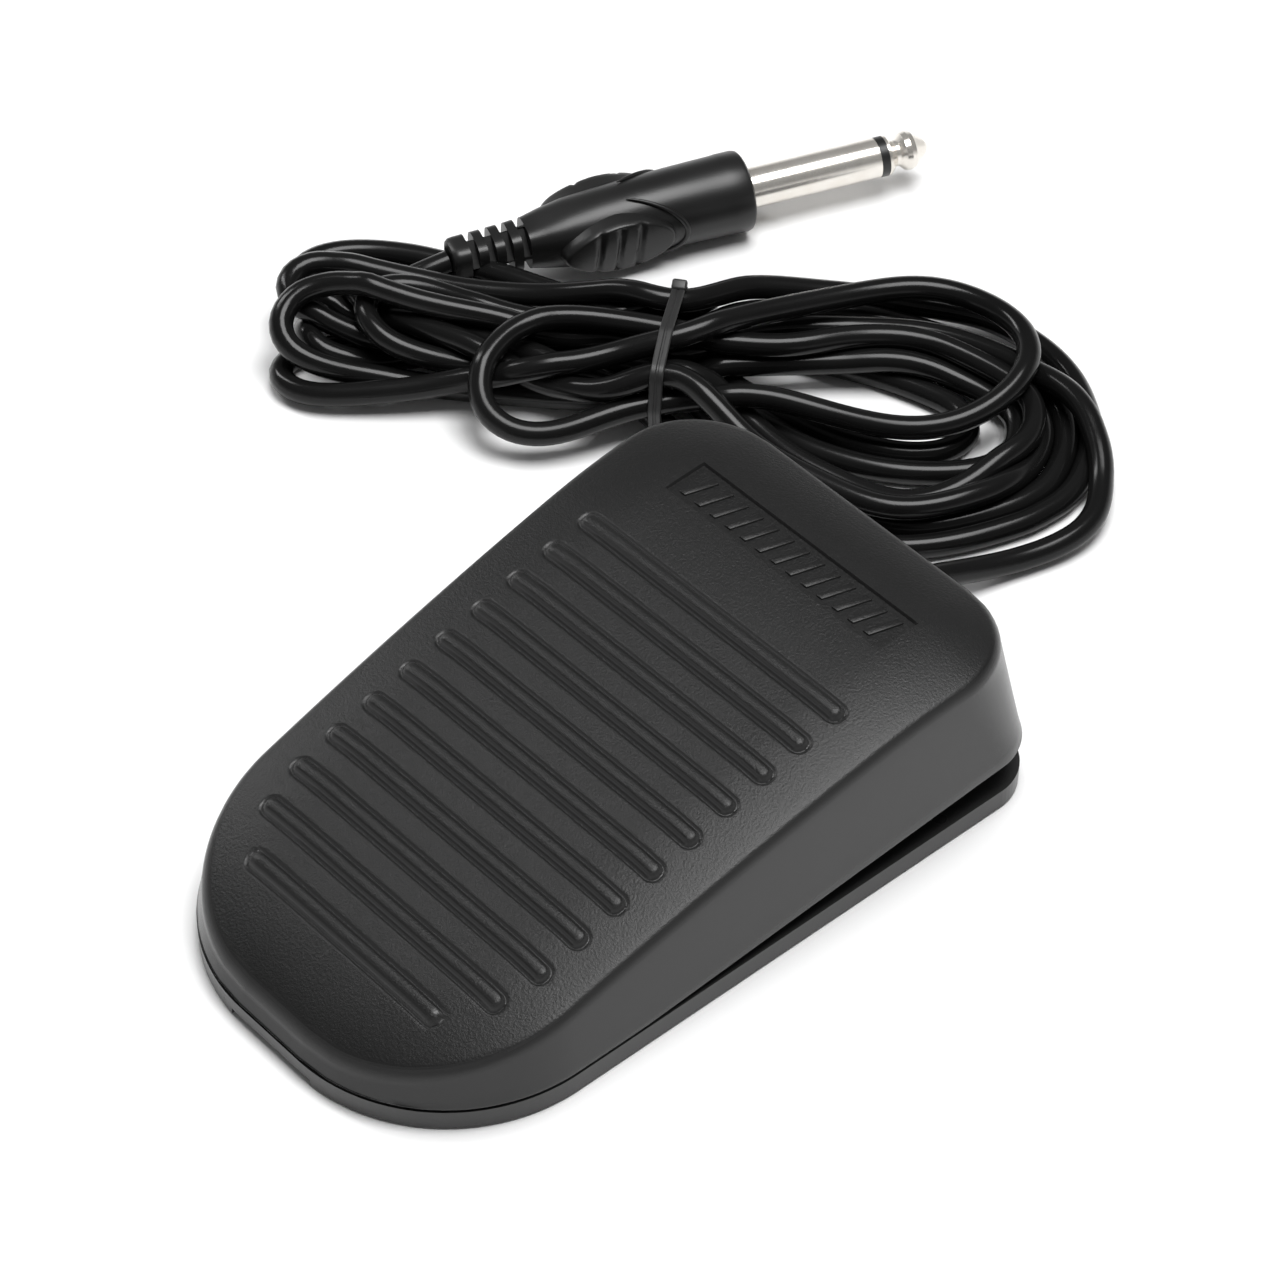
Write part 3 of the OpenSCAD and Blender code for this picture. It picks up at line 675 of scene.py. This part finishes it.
def side_ends(up, inset):
    """The two ends of the straight side: (x, y) where each round begins."""
    a = side_angle(up)
    (cx, cy), r = tall_corner(up)
    return ((LOW_C[0] + (LOW_R - inset) * cos(a), LOW_C[1] + (LOW_R - inset) * sin(a)),
            (cx + (r - inset) * cos(a), cy + (r - inset) * sin(a)))


def half_width(y, inset):
    """Half width at y of the cover's top outline, inset all round."""
    (x0, y0), (x1, y1) = side_ends(1, inset)
    if y < y0:
        return LOW_C[0] + sqrt(max(0.0, (LOW_R - inset)**2 - (y - LOW_C[1])**2))
    if y > y1:
        (cx, cy), r = tall_corner(1)
        return cx + sqrt(max(0.0, (r - inset)**2 - (y - cy)**2))
    return x0 + (x1 - x0) * (y - y0) / (y1 - y0)


def rim_place(x, y):
    """Names a point of the top's rim, so that it can be found again lower down."""
    side, x = (1 if x > 0 else -1), abs(x)
    a = side_angle(1)
    (x0, y0), (x1, y1) = side_ends(1, INSET)
    (cx, cy), _ = tall_corner(1)
    if y < y0:
        if x <= LOW_C[0]:
            return side, "low", x
        return side, "low_round", (atan2(y - LOW_C[1], x - LOW_C[0]) + pi / 2) / (a + pi / 2)
    if y <= y1:
        return side, "side", (y - y0) / (y1 - y0)
    if x <= cx:
        return side, "tall", x / cx
    return side, "tall_round", (atan2(y - cy, x - cx) - a) / (pi / 2 - a)


def rim_point(place, inset, up):
    side, part, g = place
    a = side_angle(up)
    (cx, cy), r = tall_corner(up)
    if part == "low":
        x, y, r, turn = g, LOW_C[1], LOW_R, -pi / 2
    elif part == "low_round":
        x, y, r, turn = *LOW_C, LOW_R, -pi / 2 + g * (a + pi / 2)
    elif part == "side":
        x, y = LOW_C[0] + g * (cx - LOW_C[0]), LOW_C[1] + g * (cy - LOW_C[1])
        r, turn = LOW_R + g * (r - LOW_R), a
    elif part == "tall":
        x, y, turn = g * cx, cy, pi / 2
    else:
        x, y, turn = cx, cy, a + g * (pi / 2 - a)
    return side * (x + (r - inset) * cos(turn)), y + (r - inset) * sin(turn)


def rib_half(y):
    """Half length of a rib at y: the low ones end on an arc."""
    rise = sqrt(max(0.0, RIB_ARC_R**2 - min(0.0, y - RIB_ARC_Y)**2))
    return min(RIB_LONGEST, RIB_ARC_X + rise)


def from_edge(x, y):
    """Distance in from the rim of the top."""
    x = abs(x)
    (x0, y0), (x1, y1) = side_ends(1, INSET)
    (cx, cy), r = tall_corner(1)
    a = side_angle(1)
    along = -(x - x0) * sin(a) + (y - y0) * cos(a)
    inside = (x0 - x) * cos(a) + (y0 - y) * sin(a)
    if y > cy + (x - cx) * tan(a):
        return r - INSET - (hypot(x - cx, y - cy) if x > cx else y - cy)
    if along < 0:
        low = hypot(max(0.0, x - LOW_C[0]), y - LOW_C[1])
        return min(LOW_R - INSET - low if y < LOW_C[1] or x > LOW_C[0] else inside, 40)
    return min(inside, TALL_Y - INSET - y)


# Distances from a rib's middle line, and the heights above the tread there.
RIB_PROFILE = ([0, 0.45, 0.75, 0.95, 1.08, 1.16, 1.22, 1.34, 1.5, 1.66, 1.8],
               [0.7, 0.66, 0.57, 0.43, 0.28, 0.1, -0.12, -0.2, -0.2, -0.06, 0])


def crowned(x, y):
    """The tread without its ribs, falling away gently near its rim."""
    near = max(0.0, 1 - max(0.0, from_edge(x, y)) / CROWN_W)
    return tread(y) - CROWN * near * near


def top_height(x, y):
    """The top with its ribs, the grooves round them and the recess."""
    number = round((RIB_Y - y) / RIB_PITCH)
    if 0 <= number < RIB_COUNT:
        mid = RIB_Y - RIB_PITCH * number
        end = rib_half(mid) - RIB_W / 2
        off = hypot(max(0.0, abs(x) - end), y - mid)
        if off < RIB_PROFILE[0][-1]:
            return crowned(x, y) + float(np.interp(off, *RIB_PROFILE))
    deep = min(PANEL_HALF[0] - abs(x), PANEL_HALF[1] - abs(y - PANEL_Y))
    share = min(1.0, max(0.0, (deep + 0.04) / 0.1))
    return (1 - share) * crowned(x, y) + share * (tread(PANEL_Y) - PANEL_DEEP)


def spaced(fixed, fill, apart):
    """Sorted positions: all of fixed, and those of fill that keep clear of them."""
    fixed = sorted(fixed)
    kept = [v for v in fill if min(abs(v - f) for f in fixed) > apart]
    return sorted(fixed + kept)


def tread_rows():
    low, tall = LOW_C[1] - LOW_R + INSET, TALL_Y - INSET
    (_, y0), (_, y1) = side_ends(1, INSET)
    rows = [low, tall, y0, y1]
    for i in range(RIB_COUNT):
        mid = RIB_Y - RIB_PITCH * i
        offs = RIB_PROFILE[0] + [2.1]
        rows += [mid + s * off for off in offs for s in (-1, 1) if off or s > 0]
    for side in (-1, 1):
        rows += [PANEL_Y + side * (PANEL_HALF[1] + d) for d in (-0.06, 0.04, 0.3, -0.4)]
    arcs = [LOW_C[1] - (LOW_R - INSET) * cos(radians(a)) for a in range(3, 90, 4)]
    (_, cy), r = tall_corner(1)
    arcs += [cy + (r - INSET) * sin(radians(a)) for a in range(4, 90, 6)]
    plain = list(np.arange(low + 1, tall - 0.5, 1.2))
    return spaced(spaced(rows, arcs, 0.25), plain, 0.6)


def tread_columns():
    """Places across where the top is WIDE, closer together where ribs end."""
    edge = [PANEL_HALF[0] - 0.06, PANEL_HALF[0] + 0.04]
    half = spaced(spaced([0.0, WIDE] + edge, list(np.arange(22.3, 27.2, 0.2)), 0.06),
                  list(np.arange(1.0, WIDE - 0.3, 0.9)), 0.45)
    return [-x for x in half[:0:-1]] + half


def across_at(x, y):
    """Moves a place across inwards, so that the last one stays on the rim."""
    reach, keep = half_width(y, INSET), PANEL_HALF[0] + 0.04
    kept = keep * min(1.0, reach / (WIDE - 3))
    side = 1 if x > 0 else -1
    if abs(x) <= keep:
        return x * kept / keep
    return side * (kept + (abs(x) - keep) * (reach - kept) / (WIDE - keep))


def make_cover():
    rows, columns = tread_rows(), tread_columns()
    width, up = len(columns), len(rows) - 1
    verts, faces = [], []
    for y in rows:
        places = [across_at(x, y) for x in columns]
        verts += [(x, y, top_height(x, y)) for x in places]
    for r in range(up):
        for k in range(width - 1):
            a = r * width + k
            faces.append((a, a + 1, a + width + 1, a + width))
    last = up * width
    loop = (list(range(width)) + [r * width + width - 1 for r in range(1, up + 1)]
            + list(range(last + width - 2, last - 1, -1))
            + [r * width for r in range(up - 1, 0, -1)])
    rim = [rim_place(*verts[i][:2]) for i in loop]

    def ring(inset, level, height):
        spots = [rim_point(place, inset, level) for place in rim]
        return [(x, y, height(y)) for x, y in spots]

    sink = CROWN + EDGE_R * cos(radians(CROWN_DEG))
    rings = []
    for step in range(1, 9):
        a = radians(90 - CROWN_DEG) * (1 - step / 8)
        rings.append(ring(DRAFT + EDGE_R * (1 - cos(a)), 1,
                          lambda y: tread(y) - sink + EDGE_R * sin(a)))
    for share in (0.15, 0.4, 0.65, 0.88):
        rings.append(ring(DRAFT * (1 - share), 1 - share,
                          lambda y: (1 - share) * (tread(y) - sink) + share * skirt(y)))
    lip = 0.35
    for a in (0, 22, 45, 67, 90):
        inset, drop = lip * (1 - cos(radians(a))), lip * (1 - sin(radians(a)))
        rings.append(ring(inset, 0, lambda y: skirt(y) + drop))
    rings.append(ring(WALL - 0.15, 0, skirt))
    rings.append(ring(WALL, 0, lambda y: skirt(y) + 0.15))
    rings.append(ring(WALL + DRAFT, 1, lambda y: tread(y) - ROOF - 0.6))
    previous, n = loop, len(loop)
    for points in rings:
        start = len(verts)
        verts += points
        current = list(range(start, start + n))
        for i in range(n):
            j = (i + 1) % n
            faces.append((previous[i], current[i], current[j], previous[j]))
        previous = current
    right = [previous[width - 1 + r] for r in range(up + 1)]
    left = [previous[0]] + [previous[-r] for r in range(1, up)]
    left.append(previous[width - 1 + up + width - 1])
    faces.append(tuple(previous[:width]) + (right[1], left[1]))
    for r in range(1, up - 1):
        faces.append((left[r], right[r], right[r + 1], left[r + 1]))
    faces.append((left[up - 1], right[up - 1])
                 + tuple(previous[width - 1 + up:width - 1 + up + width]))
    shell = mesh_object("shell", verts, faces, smooth_deg=50)
    cut(shell, notch_cutter(), 50)
    return join([shell] + panel_bars() + cover_inside(), "cover")


def notch_cutter():
    """The arched notch that the grommet comes out through."""
    r, middle = 4, 12
    arch = [(-r, 0), (r, 0)] + [(r * cos(a), middle + r * sin(a))
                                for a in np.linspace(0, pi, 25)]
    return rings_mesh("cutter", [[(x, y, z) for x, z in arch]
                                 for y in (TALL_Y - 5, TALL_Y + 1)])


def panel_bars():
    """Plain slanted bars with soft edges, standing on the floor of the recess."""
    count, pitch, slant = 13, 3.0, 0.32
    bars = []
    floor = tread(PANEL_Y) - PANEL_DEEP
    for i in range(count):
        x = (i - count // 2) * pitch
        bar = bevelled_box("bar", (-0.6, -2.5, -0.3), (0.6, 2.5, 0.32), 0.14, 2)
        for v in bar.data.vertices:
            v.co.x += v.co.y * slant + x * MM
            v.co.y += PANEL_Y * MM
            v.co.z += floor * MM
        bars.append(bar)
    return bars


def round_post(name, x, y, r, low, high, hollow=0.0):
    """A moulded post: rounded foot, slight taper, and a well in its end if hollow."""
    profile = [(r + 0.25, high), (r, low + 0.4), (r - 0.12, low + 0.12), (r - 0.4, low)]
    if hollow:
        profile += [(hollow, low), (hollow, low + 2.5), (0.01, low + 2.5)]
    else:
        profile += [(0.01, low)]
    rings = [circle(radius, 40, z, (x, y)) for radius, z in profile]
    return rings_mesh(name, rings, caps=False)


def hinge_lug(side):
    """A lug with a round eye for the pin, and a gusset up to the roof."""
    steps, r, bore, rise = 32, 4.0, 1.55, 9.0
    inner, outer = 20.4, 25.4
    eye, edge = [], []
    for i in range(steps):
        a = 2 * pi * i / steps
        c, s = cos(a), sin(a)
        eye.append((bore * c, bore * s))
        if s > 0:
            reach = min(r / max(abs(c), 1e-6), rise / s)
            edge.append((max(-r, min(r, reach * c)), min(rise, reach * s)))
        else:
            edge.append((r * c, r * s))
    rings = []
    for x, pts in ((inner, eye), (inner, edge), (outer, edge), (outer, eye), (inner, eye)):
        rings.append([(side * x, HINGE_Y + u, HINGE_Z + v) for u, v in pts])
    return rings_mesh("lug", rings, caps=False, smooth_deg=30)


SPRING_Y = 26


def cover_inside():
    """Hinge lugs, two stop posts, the post over the switch, and the spring's seat and stud."""
    parts = [hinge_lug(1), hinge_lug(-1)]
    under = 0.5 * ROOF
    for x, y, r, low in ((24, 44, 2.5, 9.8), (-24, 44, 2.5, 9.8), (0, 4, 2.5, 13.3)):
        parts.append(round_post("post", x, y, r, low, tread(y) - under))
    parts.append(round_post("post", 0, SPRING_Y, 6.0, 20, tread(SPRING_Y) - under))
    parts.append(round_post("stud", 0, SPRING_Y, 2.8, 17.5, 21))
    return parts


# ---- Springs ----
def make_spring(name, at, r, wire, low, high, turns, steps=28, sides=10):
    """A compression spring whose end turns lie flat."""
    path = []
    for i in range(turns * steps + 1):
        t, a = i / steps, 2 * pi * i / steps
        rise = min(t, 1) * 2 * wire + max(0, t - 1 - (turns - 2)) * 2 * wire
        rise += max(0, min(t - 1, turns - 2)) / (turns - 2) * (high - low - 6 * wire)
        path.append(Vector((at[0] + r * cos(a), at[1] + r * sin(a), low + wire + rise)))
    rings = []
    for i, p in enumerate(path):
        way = (path[min(i + 1, len(path) - 1)] - path[max(i - 1, 0)]).normalized()
        side = Vector((p.x - at[0], p.y - at[1], 0)).normalized()
        up = way.cross(side)
        rings.append([p + wire * (cos(2 * pi * k / sides) * side
                                  + sin(2 * pi * k / sides) * up) for k in range(sides)])
    return rings_mesh(name, rings)


# ---- Plug ----
PLUG_AT, PLUG_DEG = (-78.5, 103.5, 6.5), 68


def on_plug(obj):
    """Moves a mesh made along +X into the plug's place."""
    turn = Matrix.Rotation(radians(PLUG_DEG), 4, "Z")
    obj.data.transform(Matrix.Translation(Vector(PLUG_AT) * MM) @ turn)
    return obj


PLUG_ROWS = [  # distance, half width, half height, squareness
    (-48, 2.2, 2.2, 2.6), (-47.9, 2.8, 2.8, 2.8), (-47.5, 3.05, 3.05, 3.0),
    (-46.8, 3.1, 3.1, 3.2), (-42, 3.2, 3.15, 3.4), (-38, 3.35, 3.3, 3.4),
    (-35.5, 3.6, 3.5, 3.2), (-33, 4.3, 4.1, 2.8), (-29, 5.1, 5.0, 2.4),
    (-24, 5.6, 5.6, 2.1), (-18, 6.0, 6.0, 2.0), (-12, 6.2, 6.2, 2.0), (-7, 6.3, 6.3, 2.0),
    (-4.2, 6.33, 6.33, 2.0), (-3.6, 6.4, 6.4, 2.0), (-1.0, 6.4, 6.4, 2.0),
    (-0.4, 6.25, 6.25, 2.0), (-0.1, 5.9, 5.9, 2.0), (0.0, 5.4, 5.4, 2.0),
    (0.0, 3.3, 3.3, 2.0), (-1.0, 3.2, 3.2, 2.0)]


def plug_radius(row, a):
    _, half_y, half_z, power = row
    c, s = abs(cos(a)) / half_y, abs(sin(a)) / half_z
    return (c**power + s**power) ** (-1 / power)


SLOT_X, SLOT_PITCH, SLOT_W = -45.2, 2.7, 1.25


def make_plug_body():
    """The barrel, its slotted relief and its two thumb pads."""
    rings = []
    for row in PLUG_ROWS:
        ring = []
        for i in range(72):
            a = 2 * pi * i / 72
            r = plug_radius(row, a)
            ring.append((row[0], r * cos(a), r * sin(a)))
        rings.append(ring)
    body = rings_mesh("barrel", rings, caps=False, smooth_deg=35)
    body_cap = rings_mesh("cap", [rings[0], [(-48, 0.02 * y, 0.02 * z)
                                             for _, y, z in rings[0]]])
    body = join([body, body_cap], "barrel")
    tidy_mesh(body, 35)
    cutters = []
    for face in range(4):
        for k in range(4):
            x = SLOT_X + SLOT_PITCH * k
            slot_box = bevelled_box("slot", (x, -2.3, 2.2), (x + SLOT_W, 2.3, 5.0), 0.12, 1)
            slot_box.data.transform(Matrix.Rotation(radians(90 * face + 45), 4, "X"))
            cutters.append(slot_box)
    cut(body, join(cutters, "cutters"), 35)
    pads = [grip_pad(side) for side in (1, -1)]
    return on_plug(join([body] + pads, "plug_moulding"))


PAD_MID, PAD_HALF = -22.4, (9.4, 4.6)


def grip_pad(side):
    """An oval thumb pad with cross grooves, framed by a raised rim at its front."""
    rows, columns = 34, 90
    verts, faces = [], []
    for i in range(rows + 1):
        rho = i / rows
        for k in range(columns):
            a = 2 * pi * k / columns
            x = PAD_MID + PAD_HALF[0] * rho * cos(a)
            narrow = 1 - 0.16 * max(0.0, -cos(a))
            z = PAD_HALF[1] * rho * sin(a) * narrow
            dome = 6.9 - 0.5 * (abs(z) / PAD_HALF[1])**2 - 0.25 * ((x - PAD_MID) / 9.6)**2
            for groove in (-3.6, -0.3, 3.0):
                off = abs(x - PAD_MID - groove - 0.12 * z)
                if abs(z) < 3.9:
                    dome -= 0.42 * max(0.0, 1 - (off / 0.55)**2)
            fall = max(0.0, rho - 0.9) / 0.1
            y = dome - 3.4 * (1 - sqrt(max(0.0, 1 - fall**2)))
            verts.append((x, side * y, z))
    for i in range(rows):
        for k in range(columns):
            j = (k + 1) % columns
            faces.append((i * columns + k, i * columns + j,
                          (i + 1) * columns + j, (i + 1) * columns + k))
    pad = mesh_object("pad", verts, faces, smooth_deg=60)
    rim = []
    for k in range(-15, 16):
        a = radians(5.2 * k)
        x, z = PAD_MID + 10.9 * cos(a), 5.9 * sin(a)
        grip = sqrt(max(0.5, 6.15**2 - z**2)) * side
        rim.append(Vector((x, grip, z)))
    rings = []
    for i, p in enumerate(rim):
        way = (rim[min(i + 1, len(rim) - 1)] - rim[max(i - 1, 0)]).normalized()
        out = Vector((0, p.y, p.z)).normalized()
        across = way.cross(out)
        size = 0.45 * sqrt(max(0.02, 1 - (2 * i / (len(rim) - 1) - 1)**4))
        rings.append([p + size * (cos(2 * pi * k / 10) * across
                                  + 1.1 * sin(2 * pi * k / 10) * out) for k in range(10)])
    lip = rings_mesh("lip", rings, smooth_deg=60)
    return join([pad, lip], "pad")


# ---- Grommet ----
def make_grommet():
    """The gland's strain relief: a flanged sleeve with a ringed, tapering tail."""
    profile = [(1.9, 45.6), (3.3, 45.6), (3.7, 45.9), (3.8, 46.2), (3.8, 47.4), (2.9, 47.4),
               (2.9, 50.4), (3.7, 50.4), (3.8, 50.6), (3.8, 51.0), (3.6, 51.2)]
    for k in range(5):
        y, r = 52.0 + 1.9 * k, 3.05 - 0.12 * k
        profile += [(r - 0.45, y - 0.35), (r - 0.45, y), (r, y + 0.1), (r + 0.02, y + 0.6),
                    (r - 0.05, y + 1.35)]
    profile += [(2.35, 61.7), (2.2, 62.0), (1.9, 62.0), (1.86, 61.6)]
    rings = [[(r * cos(2 * pi * i / 48), y, 7.5 + r * sin(2 * pi * i / 48))
              for i in range(48)] for r, y in profile]
    return rings_mesh("grommet", rings, caps=False, smooth_deg=35)


# ---- Build ----
line = cord_line()
fine = evenly(spline(line, 3), 1.2)
cord = cord_curve(fine)
dress(cord, "cord_black", "base")
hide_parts("cord_tail", "cord_hank", "cord_lead")
tie = dress(make_tie(line), "tie_black", "base")
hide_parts("cord_tie")
cover = dress(make_cover(), "cover_black", "pedal")
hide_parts("pedal_cover")
plug = dress(make_plug_body(), "plug_black", "base")
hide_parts("plug_body")
grommet = dress(make_grommet(), "rubber_black", "base")
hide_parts("cord_grommet")

spring = make_spring("pedal_spring", (0, SPRING_Y), r=4.4, wire=0.5, low=3.5, high=19.9,
                     turns=7)
dress(spring, "steel", "base")
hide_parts("return_spring")
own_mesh(spring)
small = make_spring("plunger_spring", (0, 4), r=1.3, wire=0.2, low=4.7, high=8.7, turns=6)
dress(small, "steel", "base")
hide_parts("switch_spring")
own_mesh(small)

CARRIED = {
    "base_plate": "base_black", "rubber_feet": "rubber_black",
    "hinge_pin_left": "steel", "hinge_pin_right": "steel", "stop_bumpers": "rubber_black",
    "switch_body": "switch_black", "switch_lid": "switch_black",
    "switch_plunger": "plunger_red", "contact_bridge": "brass",
    "terminal_left": "brass", "terminal_right": "brass", "switch_screws": "steel",
    "lead_wires": "wire_red", "cord_clamp": "base_black", "clamp_screws": "steel",
    "plug_sleeve": "nickel", "plug_insulator": "ring_black", "plug_tip": "nickel",
}
for node, slot in CARRIED.items():
    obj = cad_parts[node]
    dress(obj, slot)
    if node not in ("lead_wires", "plug_tip"):
        edge = obj.modifiers.new("edge", "BEVEL")
        edge.width, edge.segments, edge.angle_limit = 0.2 * MM, 2, radians(40)
        edge.limit_method = "ANGLE"


# ---- Floor and light ----
def make_floor():
    m = Nodes("floor_white")
    m.colour(m.noise(0.002), ((0.3, grey(0.93)), (0.7, grey(0.95))))
    m.set(Roughness=0.9, Specular_IOR_Level=0.1)
    side = 6000
    floor = mesh_object("floor", [(-side, -side, 0), (side, -side, 0), (side, side, 0),
                                  (-side, side, 0)], [(0, 1, 2, 3)])
    floor.data.materials.append(m.material)


def area_light(name, at, aim, size, watts):
    data = bpy.data.lights.new(name, "AREA")
    data.shape, data.size, data.size_y = "RECTANGLE", size[0] * MM, size[1] * MM
    data.energy = watts
    obj = placed(name, data)
    obj.location = Vector(at) * MM
    way = Vector(aim) * MM - obj.location
    obj.rotation_euler = way.to_track_quat("-Z", "Y").to_euler()


def make_world():
    """White light from all round, strong at the horizon and weak overhead."""
    world = bpy.data.worlds.new("studio")
    world.use_nodes = True
    tree = world.node_tree
    way = tree.nodes.new("ShaderNodeTexCoord").outputs["Generated"]
    split = tree.nodes.new("ShaderNodeSeparateXYZ")
    fade = tree.nodes.new("ShaderNodeMapRange")
    for key, number in (("From Min", 0.06), ("From Max", 0.36), ("To Min", 0.8),
                        ("To Max", 0.13)):
        fade.inputs[key].default_value = number
    tree.links.new(way, split.inputs[0])
    tree.links.new(split.outputs["Z"], fade.inputs["Value"])
    background = tree.nodes["Background"]
    background.inputs["Color"].default_value = (1, 1, 1, 1)
    tree.links.new(fade.outputs["Result"], background.inputs["Strength"])
    bpy.context.scene.world = world


make_floor()
area_light("overhead", (70, 130, 900), (0, 30, 0), (520, 520), 9.5)
area_light("left", (-700, -60, 520), (0, 0, 10), (140, 420), 1.6)
make_world()
bpy.context.scene.view_settings.view_transform = "Standard"
